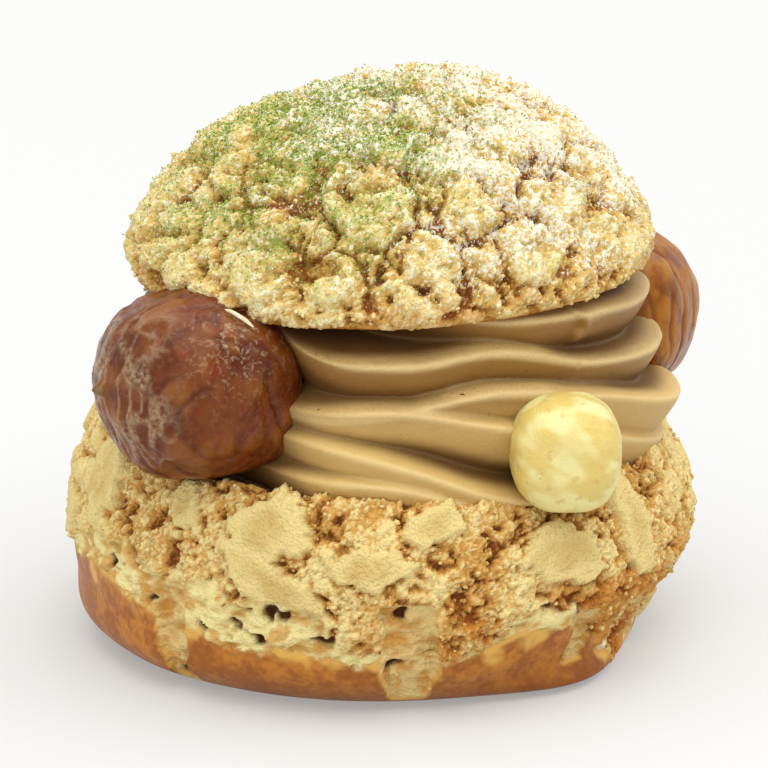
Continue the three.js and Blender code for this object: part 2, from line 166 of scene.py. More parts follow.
def chance(i, j, k, salt):
    """A repeatable random number from 0 to 1 for each whole-number place."""
    def times(n, factor):
        return np.asarray(n, np.int64).astype(np.uint32) * np.uint32(factor)
    h = times(i, 0x27D4EB2D) ^ times(j, 0x165667B1) ^ times(k, 0x1B873593) ^ times([salt], 0x85EBCA6B)
    h = (h ^ (h >> np.uint32(15))) * np.uint32(0x2C1B3C6D)
    h = (h ^ (h >> np.uint32(12))) * np.uint32(0x297A2D39)
    return (h ^ (h >> np.uint32(15))) / 2.0 ** 32


def lumps(p, size, salt):
    """Smooth unevenness from -1 to 1, with lumps of about the given size in mm. Each salt gives another."""
    q = p / size
    cell = np.floor(q).astype(np.int64)
    u, v, w = smooth(q - cell, 0, 1).T
    i, j, k = cell.T

    def along(b, c):
        return chance(i, j + b, k + c, salt) * (1 - u) + chance(i + 1, j + b, k + c, salt) * u
    low = along(0, 0) * (1 - v) + along(1, 0) * v
    high = along(0, 1) * (1 - v) + along(1, 1) * v
    return 2 * (low * (1 - w) + high * w) - 1


def layered(p, *layers):
    """Unevenness of several sizes at once. Each layer is a height, a size in mm and a salt."""
    return sum(height * lumps(p, size, salt) for height, size, salt in layers)


def drift(p, size, salt):
    """A wandering direction, from -1 to 1 on each axis."""
    return np.stack([lumps(p, size, salt + n) for n in range(3)], 1)


def ridges(p, size, salt):
    """1 along thin winding lines, and less between them."""
    return 1 - np.abs(lumps(p, size, salt))


def cells(p, size, salt, bend=0.16):
    """Distance to the nearest of some scattered points and to the next, and the nearest's random number."""
    q = p / size + bend * drift(p, size * 0.45, salt + 1)
    cell = np.floor(q).astype(np.int64)
    nearest = np.full(len(q), 9.0)
    second = nearest.copy()
    kept = nearest.copy()
    for offset in np.ndindex(3, 3, 3):
        i, j, k = (cell + np.array(offset) - 1).T
        point = np.stack([n + chance(i, j, k, salt + s) for n, s in ((i, 4), (j, 5), (k, 6))], 1)
        distance = np.linalg.norm(point - q, axis=1)
        closer = distance < nearest
        second = np.where(closer, nearest, np.minimum(second, distance))
        kept = np.where(closer, chance(i, j, k, salt + 7), kept)
        nearest = np.where(closer, distance, nearest)
    return nearest, second, kept


def flakes(p, size, share, salt):
    """1 on a flat flake of the craquelin, 0 in a crack or a bare place."""
    nearest, second, kept = cells(p, size, salt)
    return (kept < share) * smooth(second - nearest, *crust["crack"])


def azimuth_of(p):
    return np.degrees(np.arctan2(p[:, 1], p[:, 0]))


def radius_of(p):
    return np.hypot(p[:, 0], p[:, 1])


def turn_between(a, b):
    return (a - b + 180) % 360 - 180


def near(azimuth, place):
    """1 at the place's azimuth, fading out over its width."""
    return np.exp(-(turn_between(azimuth, place["azimuth"]) / place["width"]) ** place.get("power", 2))


def around(p, centre, reach):
    """1 at the centre, fading out over the reach."""
    return np.exp(-(np.linalg.norm(p - centre, axis=1) / reach) ** 2)


def placed_flakes(p):
    """1 on the flakes in front, then the same for their middles, faintly for the crumbs round them, and
    for the broken groove at their edges."""
    azimuth = azimuth_of(p)
    frayed = layered(p, (0.3, 2.4, 31), (0.2, 0.9, 32))
    mottled = 0.2 * lumps(p, 1.6, 33)
    spread = 0.3 * lumps(p, 3.5, 34)
    broken = smooth(lumps(p, 3, 35), -0.2, 0.4)
    most, core, halo, moat = np.zeros((4, len(p)))
    for place in front_flakes:
        across = np.radians(turn_between(azimuth, place["azimuth"])) * base["belly"]
        up = p[:, 2] - place["height"]
        tilt = math.radians(place["tilt"])
        along = across * math.cos(tilt) + up * math.sin(tilt)
        beside = up * math.cos(tilt) - across * math.sin(tilt)
        reach = np.hypot(along / place["half_width"], beside / place["half_height"])
        ragged = reach + frayed
        most = np.maximum(most, 1 - smooth(ragged, 0.94, 1.06))
        core = np.maximum(core, 1 - smooth(reach + mottled, 0.35, 0.85))
        halo = np.maximum(halo, 1 - smooth(ragged + spread, 1.1, 1.9))
        moat = np.maximum(moat, np.exp(-((ragged - 1.12) / 0.07) ** 2) * broken)
    return most, core, 0.14 * halo, moat * (most < 0.3)


def torn(p):
    """1 in the tears of the skin, which narrow towards the foot."""
    azimuth, z = azimuth_of(p), p[:, 2]
    uneven = layered(p, (1.3, 4.5, 42), (0.8, 1.6, 41))
    narrowing = 0.5 + 0.5 * smooth(z, 1, 9)
    most = np.zeros(len(p))
    for tear in tears:
        across = np.abs(np.radians(turn_between(azimuth, tear["azimuth"]))) * base["belly"]
        width = tear["half_width"] * narrowing
        side = 1 - smooth(across + uneven, width * 0.7, width * 1.1)
        above_low = smooth(z, tear["low"] - 1, tear["low"] + 1)
        below_high = 1 - smooth(z, tear["high"] - 2, tear["high"] + 1)
        most = np.maximum(most, side * above_low * below_high)
    return most


# Meshes

def vertex_normals(verts, faces):
    """The direction out of the surface at each point, and the area round the point."""
    a, b, c = (verts[faces[:, n]] for n in range(3))
    face_normals = np.cross(b - a, c - a)
    normals = np.zeros_like(verts)
    for n in range(3):
        for axis in range(3):
            normals[:, axis] += np.bincount(faces[:, n], face_normals[:, axis], len(verts))
    area = np.linalg.norm(normals, axis=1)
    return normals / np.maximum(area, 1e-12)[:, None], area


def band_faces(rows, columns):
    """Triangles of a closed band of rows, then a fan to one point below and one above it."""
    r, c = np.meshgrid(np.arange(rows - 1), np.arange(columns), indexing="ij")
    a = (r * columns + c).ravel()
    b = (r * columns + (c + 1) % columns).ravel()
    low, high = rows * columns, rows * columns + 1
    ring = np.arange(columns)
    after = (ring + 1) % columns
    last = (rows - 1) * columns
    return np.concatenate([
        np.stack([a, b, b + columns], 1),
        np.stack([a, b + columns, a + columns], 1),
        np.stack([np.full(columns, low), after, ring], 1),
        np.stack([np.full(columns, high), last + ring, last + after], 1),
    ])


def band(radius, height, columns, bottom, top, lean=0):
    """Rows of points round the axis, closed by one point at the bottom and one at the top."""
    turn = np.linspace(0, 2 * np.pi, columns, endpoint=False)
    x, y, z = radius * np.cos(turn) + lean, radius * np.sin(turn), height + 0 * turn
    verts = np.stack([x.ravel(), y.ravel(), z.ravel()], 1)
    return np.concatenate([verts, [bottom, top]]), band_faces(len(radius), columns)


def icosahedron(radius):
    """Corners and triangles of the plainest ball."""
    ball = bmesh.new()
    bmesh.ops.create_icosphere(ball, subdivisions=1, radius=radius)
    ball.verts.index_update()
    corners = np.array([v.co for v in ball.verts])
    sides = np.array([[v.index for v in f.verts] for f in ball.faces])
    ball.free()
    return corners, sides


def geodesic(count):
    """A sphere of even triangles: each side of an icosahedron's faces is cut into count parts."""
    corners, sides = icosahedron(1)
    steps = [(i, j) for i in range(count + 1) for j in range(count + 1 - i)]
    place = {step: n for n, step in enumerate(steps)}
    weights = np.array([(count - i - j, i, j) for i, j in steps]) / count
    cut = [(place[i, j], place[i + 1, j], place[i, j + 1]) for i, j in steps if i + j < count]
    cut += [(place[i + 1, j], place[i + 1, j + 1], place[i, j + 1]) for i, j in steps if i + j < count - 1]
    points = np.concatenate([weights @ corners[side] for side in sides])
    faces = np.concatenate([np.array(cut) + n * len(steps) for n in range(len(sides))])
    points /= np.linalg.norm(points, axis=1, keepdims=True)
    rounded = np.round(points * 1e5).astype(np.int64)
    _, first, same = np.unique(rounded, axis=0, return_index=True, return_inverse=True)
    return points[first], same.ravel()[faces]


def rounded_block(count, squareness, radii):
    """A closed form between an ellipsoid, at squareness 2, and a block."""
    sphere, faces = geodesic(count)
    length = (np.abs(sphere) ** squareness).sum(1) ** (1 / squareness)
    return sphere / length[:, None] * radii, faces


def run_along(a, b):
    """How far along a curve each of its points lies."""
    steps = np.cumsum(np.hypot(np.diff(a, axis=0), np.diff(b, axis=0)), axis=0)
    return np.concatenate([np.zeros_like(a[:1]), steps])


def spline(points, count):
    """Points evenly spaced along a smooth curve through the given ones."""
    p = np.array(points, float)
    p = np.concatenate([p[:1], p, p[-1:]])
    t = np.linspace(0, 1, 60, endpoint=False)[:, None]
    parts = []
    for a, b, c, d in zip(p, p[1:], p[2:], p[3:]):
        bent = (2 * a - 5 * b + 4 * c - d) * t ** 2 + (3 * b - a - 3 * c + d) * t ** 3
        parts.append(0.5 * (2 * b + (c - a) * t + bent))
    fine = np.concatenate(parts + [p[-1:]])
    run = run_along(fine[:, 0], fine[:, 1])
    at = np.linspace(0, run[-1], count)
    return np.stack([np.interp(at, run, fine[:, n]) for n in range(2)], 1)


def turned(p, axis, degrees):
    """The points turned round an axis."""
    return p @ np.array(Matrix.Rotation(math.radians(degrees), 3, axis)).T


def add_piece(name, node, verts, faces, material, masks=None):
    """A visible piece from points in mm, with a named mask on its points for each entry of masks."""
    mesh = bpy.data.meshes.new(name)
    mesh.from_pydata((verts * MM).tolist(), [], faces.tolist())
    mesh.polygons.foreach_set("use_smooth", np.ones(len(faces), bool))
    for mask, values in (masks or {}).items():
        mesh.attributes.new(mask, "FLOAT", "POINT").data.foreach_set("value", values.astype(np.float32))
    mesh.materials.append(material)
    piece = bpy.data.objects.new(name, mesh)
    bpy.context.collection.objects.link(piece)
    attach(piece, "root")
    if node:
        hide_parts(node)


# Materials. Colours are as they show in this light, from 0 to 255.

# The crevice colour is painted shade for the craquelin's low places.
base_tones = dict(crevice_shade=(134, 72, 20), crumb=(218, 162, 78), tip=(252, 228, 156), flake=(237, 213, 141),
                  core=(215, 183, 109))
cap_tones = dict(crevice_shade=(150, 84, 26), crumb=(230, 186, 100), tip=(254, 240, 180), flake=(246, 230, 164),
                 core=(238, 212, 134))
# The pit colour is painted shade in the holes of torn choux.
crust_tones = dict(toast_deep=(166, 88, 22), toast=(222, 152, 64), fleck=(206, 158, 88),
                   strand_deep=(206, 154, 72), strand=(255, 238, 166), strand_baked=(222, 154, 62),
                   rip=(204, 136, 54), pit=(92, 50, 18), skin=(198, 126, 42), skin_deep=(160, 90, 24),
                   skin_low=(126, 64, 14), skin_edge=(230, 178, 84), sugar=(252, 248, 236),
                   tea=(176, 190, 88))
# Lower, under, crest, crease and recess are painted light and shade: lighter lower folds, shade under the
# lips, a highlight on the edges, shade in the creases and in the recess under the cap.
cream_tones = dict(shade=(190, 158, 98), light=(204, 170, 106), dark_fleck=(166, 130, 76),
                   fleck=(222, 194, 136), speck=(110, 66, 34), lower=(226, 190, 116), under=(146, 98, 34),
                   crest=(236, 208, 148), crease_shade=(112, 74, 34), recess_shade=(84, 46, 20))
# Dust is the colour of the sugar crystals and also of the painted sheen.
dark_glaze = dict(deep=(86, 28, 4), middle=(120, 58, 12), light=(148, 88, 28), dust_and_sheen=(200, 178, 140))
amber_glaze = dict(deep=(118, 56, 4), middle=(168, 102, 10), light=(196, 140, 34), dust_and_sheen=(140, 108, 48))
glaze_tones = dict(blush=(128, 36, 12), nib=(120, 96, 62))
nut_tones = dict(shade=(226, 200, 112), light=(241, 227, 156), fleck=(206, 164, 84), speck=(90, 60, 30))


def linear(shown, lit=0.86):
    """A surface's own colour, from the colour that it shows. A smaller lit makes it darker."""
    def one(c):
        c /= 255
        return lit * (c / 12.92 if c <= 0.04045 else ((c + 0.055) / 1.055) ** 2.4)
    return (*map(one, shown), 1)


class Shader:
    """One node material. Sizes of noise are in mm, over the piece's own coordinates."""

    def __init__(self, name, **settings):
        self.material = bpy.data.materials.new(name)
        self.material.use_nodes = True
        self.tree = self.material.node_tree
        self.surface = self.tree.nodes["Principled BSDF"]
        self.place = self.tree.nodes.new("ShaderNodeTexCoord").outputs["Object"]
        for socket, value in settings.items():
            label = socket.replace("_", " ").title().replace("Ior", "IOR")
            self.surface.inputs[label].default_value = value

    def link(self, value, socket):
        if isinstance(value, bpy.types.NodeSocket):
            self.tree.links.new(value, socket)
        else:
            socket.default_value = value

    def mask(self, name):
        node = self.tree.nodes.new("ShaderNodeAttribute")
        node.attribute_name = name
        return node.outputs["Fac"]

    def noise(self, size, detail=2, stretch=(1, 1, 1), distortion=0):
        node = self.tree.nodes.new("ShaderNodeTexNoise")
        scaled = self.tree.nodes.new("ShaderNodeVectorMath")
        scaled.operation = "MULTIPLY"
        scaled.inputs[1].default_value = [1 / (size * MM * s) for s in stretch]
        self.tree.links.new(self.place, scaled.inputs[0])
        self.tree.links.new(scaled.outputs[0], node.inputs["Vector"])
        node.inputs["Scale"].default_value = 1
        node.inputs["Detail"].default_value = detail
        node.inputs["Distortion"].default_value = distortion
        return node.outputs["Fac"]

    def grain(self, size):
        node = self.tree.nodes.new("ShaderNodeTexVoronoi")
        self.tree.links.new(self.place, node.inputs["Vector"])
        node.inputs["Scale"].default_value = 1 / (size * MM)
        return node.outputs["Distance"]

    def math(self, operation, a, b):
        node = self.tree.nodes.new("ShaderNodeMath")
        node.operation = operation
        self.link(a, node.inputs[0])
        self.link(b, node.inputs[1])
        return node.outputs[0]

    def plus(self, a, b):
        return self.math("ADD", a, b)

    def times(self, a, b):
        return self.math("MULTIPLY", a, b)

    def between(self, value, low, high):
        """From 0 at low to 1 at high."""
        node = self.tree.nodes.new("ShaderNodeMapRange")
        node.interpolation_type = "SMOOTHSTEP"
        self.link(value, node.inputs["Value"])
        self.link(low, node.inputs["From Min"])
        self.link(high, node.inputs["From Max"])
        return node.outputs["Result"]

    def over(self, below, above, share, strength=1):
        """The colour below, covered by the one above by a share."""
        node = self.tree.nodes.new("ShaderNodeMix")
        node.data_type = "RGBA"
        self.link(share if strength == 1 else self.times(share, strength), node.inputs[0])
        self.link(below, node.inputs[6])
        self.link(above, node.inputs[7])
        return node.outputs[2]

    def finish(self, colour, roughness=None, bump=None, bump_mm=0.1):
        self.link(colour, self.surface.inputs["Base Color"])
        if roughness is not None:
            self.link(roughness, self.surface.inputs["Roughness"])
        if bump is not None:
            node = self.tree.nodes.new("ShaderNodeBump")
            node.inputs["Distance"].default_value = bump_mm * MM
            self.tree.links.new(bump, node.inputs["Height"])
            self.tree.links.new(node.outputs[0], self.surface.inputs["Normal"])
        return self.material


def crust_material(name, tones):
    s = Shader(name, subsurface_weight=0.1, subsurface_scale=0.001, specular_ior_level=0.25)
    tone = {label: linear(shown) for label, shown in {**crust_tones, **tones}.items()}
    fine = s.noise(0.5, 3)
    broad = s.noise(4, 3)
    on_skin = s.mask("skin")

    # Craquelin: painted shade in its crevices, deeper the lower it lies, also where it is toasted; pale on
    # its tips, browner where it is toasted.
    height = s.plus(s.mask("height"), s.times(s.plus(fine, -0.5), 0.7))
    colour = s.over(tone["crevice_shade"], tone["crumb"], s.between(height, 0.1, 0.48))
    colour = s.over(colour, tone["tip"], s.between(height, 0.45, 0.9))
    toasted = s.over(tone["toast_deep"], tone["toast"], s.between(height, 0.15, 0.75))
    colour = s.over(colour, toasted, s.times(s.mask("toast"), s.between(broad, 0.62, 0.42)))
    pale = s.over(tone["flake"], tone["core"], s.times(s.mask("core"), s.between(broad, 0.3, 0.6)))
    pale = s.over(pale, tone["fleck"], s.between(s.noise(0.8, 3), 0.6, 0.72), 0.5)
    colour = s.over(colour, pale, s.mask("flake"), 0.92)

    # Torn choux: pale strands, baked brown in patches, with painted shade in its pits.
    strands = s.plus(s.mask("strand"), s.times(s.noise(0.7, 3, stretch=(3, 3, 0.8)), 0.7))
    inner = s.over(tone["strand_deep"], tone["strand"], s.between(strands, 0.3, 0.88))
    inner = s.over(inner, tone["strand_baked"], s.between(s.noise(3.2, 2), 0.5, 0.66), 0.7)
    inner = s.over(inner, tone["rip"], s.mask("rip"), 0.4)
    inner = s.over(inner, tone["pit"], s.between(s.mask("depth"), 0.2, 0.8))
    colour = s.over(colour, inner, s.mask("torn"))

    # Baked skin: mottled brown, darker at the foot and paler at its upper edge.
    mottled = s.plus(s.times(broad, 0.6), s.times(s.noise(0.9, 4), 0.5))
    brown = s.over(tone["skin"], tone["skin_deep"], s.between(mottled, 0.4, 0.66))
    brown = s.over(brown, tone["skin_low"], s.mask("low"), 0.75)
    brown = s.over(tone["skin_edge"], brown, s.mask("browned"))
    colour = s.over(colour, brown, on_skin)

    # A film of sugar and tea between the loose grains.
    bare_share = s.times(s.mask("sugar"), -0.3)
    powder = s.between(fine, s.plus(bare_share, 0.66), s.plus(bare_share, 0.76))
    powder = s.times(powder, s.between(s.mask("sugar"), 0.02, 0.15))
    colour = s.over(colour, linear(crust_tones["sugar"], lit=0.95), powder, 0.75)
    tint = s.between(s.noise(0.9, 3), 0.42, 0.6)
    colour = s.over(colour, tone["tea"], s.times(tint, s.mask("tea")), 0.75)

    dryness = s.plus(0.85, s.times(on_skin, -0.42))
    rough = s.times(s.plus(s.grain(0.45), s.noise(0.25, 2)), s.plus(1, s.times(on_skin, -0.8)))
    return s.finish(colour, dryness, rough, 0.24)


def speck_material(name, dark, pale):
    s = Shader(name, specular_ior_level=0.3)
    colour = s.over(linear(dark), linear(pale), s.between(s.noise(0.7, 2), 0.35, 0.65))
    return s.finish(colour, 0.8, s.noise(0.15, 2), 0.05)


def cream_material():
    s = Shader("chestnut_cream", subsurface_weight=0.08, subsurface_scale=0.0008, specular_ior_level=0.35)
    tone = {label: linear(shown) for label, shown in cream_tones.items()}
    streaks = s.noise(3.0, 3, stretch=(3, 3, 0.5), distortion=0.3)
    colour = s.over(tone["shade"], tone["light"], s.between(streaks, 0.35, 0.65))
    colour = s.over(colour, tone["dark_fleck"], s.between(s.noise(0.35, 2), 0.56, 0.7), 0.6)
    colour = s.over(colour, tone["fleck"], s.between(s.noise(0.28, 2), 0.6, 0.72), 0.5)
    colour = s.over(colour, tone["speck"], s.between(s.noise(0.9, 1), 0.76, 0.8))
    # Painted light and shade over the cream: lighter lower folds, shade under the lips, a highlight along
    # the edges, shade in the creases and in the recess under the cap.
    strengths = dict(lower=0.8, under=0.85, crest=0.4, crease_shade=0.9, recess_shade=0.85)
    for mask, strength in strengths.items():
        colour = s.over(colour, tone[mask], s.mask(mask), strength)
    return s.finish(colour, 0.5, s.plus(s.noise(0.3, 3), streaks), 0.09)


def chestnut_material(name, tones, clearness):
    s = Shader(name, subsurface_weight=clearness, subsurface_scale=0.003, specular_ior_level=0.15,
               coat_weight=0.15, coat_roughness=0.1)
    s.surface.inputs["Subsurface Radius"].default_value = (1, 0.35, 0.12)
    tone = {label: linear(shown) for label, shown in {**glaze_tones, **tones}.items()}
    cloudy = s.noise(4, 3, distortion=0.5)
    fine = s.noise(0.6, 3)
    colour = s.over(tone["deep"], tone["middle"], s.between(cloudy, 0.3, 0.6))
    colour = s.over(colour, tone["light"], s.between(s.mask("ridge"), 0.45, 1), 0.55)
    colour = s.over(colour, tone["blush"], s.between(s.noise(3, 2), 0.6, 0.7), 0.45)
    colour = s.over(colour, tone["deep"], s.mask("furrow"), 0.7)
    colour = s.over(colour, tone["deep"], s.mask("dark"), 0.85)
    crystals = s.between(s.noise(0.7, 4, distortion=0.8), 0.5, 0.72)
    crystals = s.times(crystals, s.plus(0.06, s.times(s.mask("dusty"), 0.6)))
    colour = s.over(colour, tone["dust_and_sheen"], crystals)
    # Painted sheen: whitish streaks on the puckers that face left.
    colour = s.over(colour, tone["dust_and_sheen"], s.times(s.mask("painted_sheen"), s.between(fine, 0.25, 0.7)), 0.55)
    colour = s.over(colour, tone["nib"], s.mask("nib"))
    return s.finish(colour, s.plus(0.2, s.times(cloudy, 0.25)), fine, 0.12)


def hazelnut_material():
    s = Shader("blanched_hazelnut", subsurface_weight=0.2, subsurface_scale=0.0015, specular_ior_level=0.4)
    tone = {label: linear(shown) for label, shown in nut_tones.items()}
    colour = s.over(tone["shade"], tone["light"], s.between(s.mask("patch"), 0.25, 0.7))
    colour = s.over(colour, tone["fleck"], s.between(s.noise(1.3, 3), 0.6, 0.72), 0.5)
    colour = s.over(colour, tone["speck"], s.between(s.noise(0.5, 1), 0.79, 0.82))
    return s.finish(colour, 0.4, s.plus(s.noise(1.2, 3), s.noise(0.4, 2)), 0.1)


# Base and cap

def crust_relief(p, flake, flake_rise, salt):
    """Height of the craquelin over the choux: flat flakes over crumbs, and how high it lies from 0 to 1."""
    swayed = p + 0.5 * drift(p, 1.7, salt + 31)
    clump = layered(swayed, (0.42, 2.3, salt), (0.42, 1.2, salt + 1), (0.3, 0.7, salt + 2))
    standing = smooth(clump, -0.36, -0.1)
    nearest, second, kept = cells(p, 0.9, salt + 20, 0.3)
    grit = smooth(second - nearest, 0, 0.3) * (0.4 + kept) - 0.45
    crumbs = crust["crumb_rise"] * lumps(p, crust["crumb_size"], 11)
    crumbs += 0.8 * (standing - 0.75) + 0.5 * clump + 0.4 * grit + 0.16 * lumps(p, 0.5, salt + 3)
    bare = 1 - 0.84 * flake
    rise = crust["thickness"] + flake * flake_rise + bare * crumbs
    level = np.clip(0.3 + bare * (0.3 * standing + 0.32 * clump + 0.3 * grit) + 0.45 * flake, 0, 1)
    return rise, level


def base_form():
    """The base with its dents and swellings, before any crust."""
    radius, height = spline(base_wall, base["rows"]).T[:, :, None]
    verts, faces = band(radius, height, base["columns"], (0, 0, 0), (0, 0, base["seat_height"]))
    azimuth, z = azimuth_of(verts), verts[:, 2]
    on_rim = smooth(radius_of(verts), 30, base["rim"]) * smooth(z, 16, base["rim_height"])
    left = raised["height"] * np.cos(np.radians(turn_between(azimuth, raised["azimuth"])))
    lift = on_rim * (left - dent["depth"] * near(azimuth, dent))
    low = smooth(z, 0, 4) * (1 - smooth(z, 7, 15))
    wide = 1 - tuck["share"] * low * near(azimuth, tuck)
    wide += corner["share"] * (1 - smooth(z, 0, 5)) * near(azimuth, corner)
    wide += swell["share"] * (1 - smooth(z, 2, 10)) * near(azimuth, swell)
    return np.stack([verts[:, 0] * wide, verts[:, 1] * wide, z + lift], 1), faces


def fibres(p, bare):
    """Height of the strands in torn choux, and the pits between them."""
    swayed = p + 1.6 * drift(p, 3.2, 51)
    strand = ridges(swayed * [0.4, 0.4, 1.2], 0.9, 46)
    web = ridges(swayed * [0.6, 0.6, 1], 2.2, 47)
    hole, _, kept = cells(p * [0.8, 0.8, 1], 3.6, 48, 0.4)
    pit = (kept < 0.7) * (1 - smooth(hole + 0.1 * lumps(p, 0.8, 49), 0.12, 0.38)) * bare
    return 0.36 * strand ** 3 + 0.5 * web ** 2 - 0.35, pit


def base_shape():
    """The lower half of the bun, with masks for what its material shades."""
    verts, faces = base_form()
    normals, _ = vertex_normals(verts, faces)
    azimuth, radius, z = azimuth_of(verts), radius_of(verts), verts[:, 2]

    # Smooth skin below, then a strip of bare choux, then crust, and tears across them.
    tear = torn(verts)
    skin_top = base["skin"] + 1.8 * lumps(verts, 9, 21)
    for edge in skin_edge:
        skin_top += edge["rise"] * near(azimuth, edge)
    ragged = layered(verts, (1.1, 2.8, 43), (0.6, 1, 44))
    on_skin = (1 - smooth(z + ragged, skin_top - 0.3, skin_top + 0.3)) * (1 - smooth(tear, 0.3, 0.6))
    left_front = near(azimuth, bare_strip)
    strip = left_front * (bare_strip["height"] + lumps(verts, 5, 54))
    strip += (1 - left_front) * (0.4 + 3 * lumps(verts, 11, 45))
    on_crust = smooth(z + 1.6 * ragged, skin_top + strip, skin_top + strip + 1)
    on_crust *= 1 - smooth(tear, 0.25, 0.6)
    bare = np.clip(1 - on_skin - on_crust, 0, 1)

    # Placed flakes in front, scattered ones behind.
    behind = smooth(np.abs(turn_between(azimuth, -92)), 62, 76)
    placed, core, halo, moat = placed_flakes(verts)
    scattered = flakes(verts, crust["flake_size"], crust["flake_share"], 100)
    flake = np.maximum(placed, behind * scattered)
    rise, level = crust_relief(verts, flake, crust["flake_rise"], 300)
    patch = lumps(verts, 6, 57) * (1 - flake)
    rise += 0.35 * patch - 0.35 * moat
    # The groove round each flake also gets painted shade, through a lower height.
    level = np.clip(level + 0.22 * patch + halo * (1 - flake) - 0.5 * moat, 0, 1)

    # The foot and the seat of the cream stay plain.
    fibre, pit = fibres(verts, bare)
    free = smooth(z, 0.4, 4) * smooth(radius, base["seat"] + 0.5, base["rim"])
    relief = 0.5 * lumps(verts, 14, 22) + on_crust * (rise - 0.3) + bare * (1.2 * fibre - 0.35 - 1.5 * pit)
    relief -= tear_depth * tear * (1 + lumps(verts, 3, 23) / 2) * (1 - on_crust)

    right_front = smooth(azimuth, -100, -75) * (1 - smooth(azimuth, -22, 0))
    browned = smooth(skin_top - z + 1.6 * ragged, -0.4, 1.4) * (1 - smooth(tear, 0.05, 0.4))
    none = np.zeros(len(verts))
    # The depth mask carries painted shade into the pits.
    masks = dict(skin=on_skin, browned=browned, low=1 - smooth(z, 0.5, 6), torn=bare, depth=pit, rip=tear,
                 strand=fibre + 0.35, toast=right_front * (1 - smooth(z, 13, 20)), flake=flake * on_crust,
                 core=core * on_crust, height=level, sugar=none, tea=none)
    return verts + normals * (free * relief)[:, None], faces, masks


def cap_form():
    """The smooth dome and its lip on a flat underside, in the cap's own frame."""
    quarter = np.linspace(0, np.pi / 2, 40)
    up = np.sin(np.linspace(0, np.pi / 2, 600))
    lip_radius = cap["underside"] + (cap["radius"] - cap["underside"]) * np.sin(quarter)
    lip_height = cap["lip"] * (1 - np.cos(quarter))
    dome_radius = cap["radius"] * (np.sqrt(1 - up * up) - cap["pinch"] * np.sin(np.pi * up))
    dome_height = cap["lip"] + (cap["height"] - cap["lip"]) * up
    radius = np.concatenate([lip_radius, dome_radius])
    height = np.concatenate([lip_height, dome_height])
    run = run_along(radius, height)
    at = np.linspace(0, run[-1] - 0.4, cap["rows"] - cap["under_rows"])
    under_radius = np.linspace(3, cap["underside"], cap["under_rows"], endpoint=False)
    radius = np.concatenate([under_radius, np.interp(at, run, radius)])[:, None]
    height = np.concatenate([0 * under_radius, np.interp(at, run, height)])[:, None]
    lean = cap["lean"] * (height / cap["height"]) ** 3
    return band(radius, height, cap["columns"], (0, 0, 0), (cap["lean"], 0, cap["height"]), lean)


def cap_bare_places(p):
    """1 in the hollows of the cap's crust, and 1 on its broad smooth place."""
    hollow = np.zeros(len(p))
    for place in cap_hollows:
        away = p - place["centre"]
        away = np.hypot(radius_of(away) / place["half_width"], away[:, 2] / place["half_height"])
        hollow = np.maximum(hollow, 1 - smooth(away + 0.3 * lumps(p, 2, 77), 0.8, 1.05))
    away = np.linalg.norm(p - cap_plateau["centre"], axis=1) / cap_plateau["radius"]
    return hollow, 1 - smooth(away + layered(p, (0.25, 3, 78), (0.15, 1, 79)), 0.75, 1)


def cap_powder(p, facing, level):
    """How thickly the sugar and the tea lie: most on what faces up and stands high."""
    x, y, z = p.T
    sugar = (0.6 + 0.7 * smooth(x + 1.6 * z, 4, 34) + 0.5 * smooth(z, 16, 21)) * (0.4 + 0.6 * facing)
    sugar *= smooth(z, 0.5, 3) * (0.75 + 0.5 * lumps(p, 5, 72))
    sugar = np.clip(sugar * (0.35 + 0.6 * smooth(level, 0.4, 0.8)), 0, 1)
    away = np.hypot(x - tea_place["x"], y - tea_place["y"]) / tea_place["width"]
    tea = np.clip(np.exp(-away ** 2) * (1.1 + 1.1 * lumps(p, 4.5, 71)) + 0.1, 0, 1) * facing
    return sugar, tea


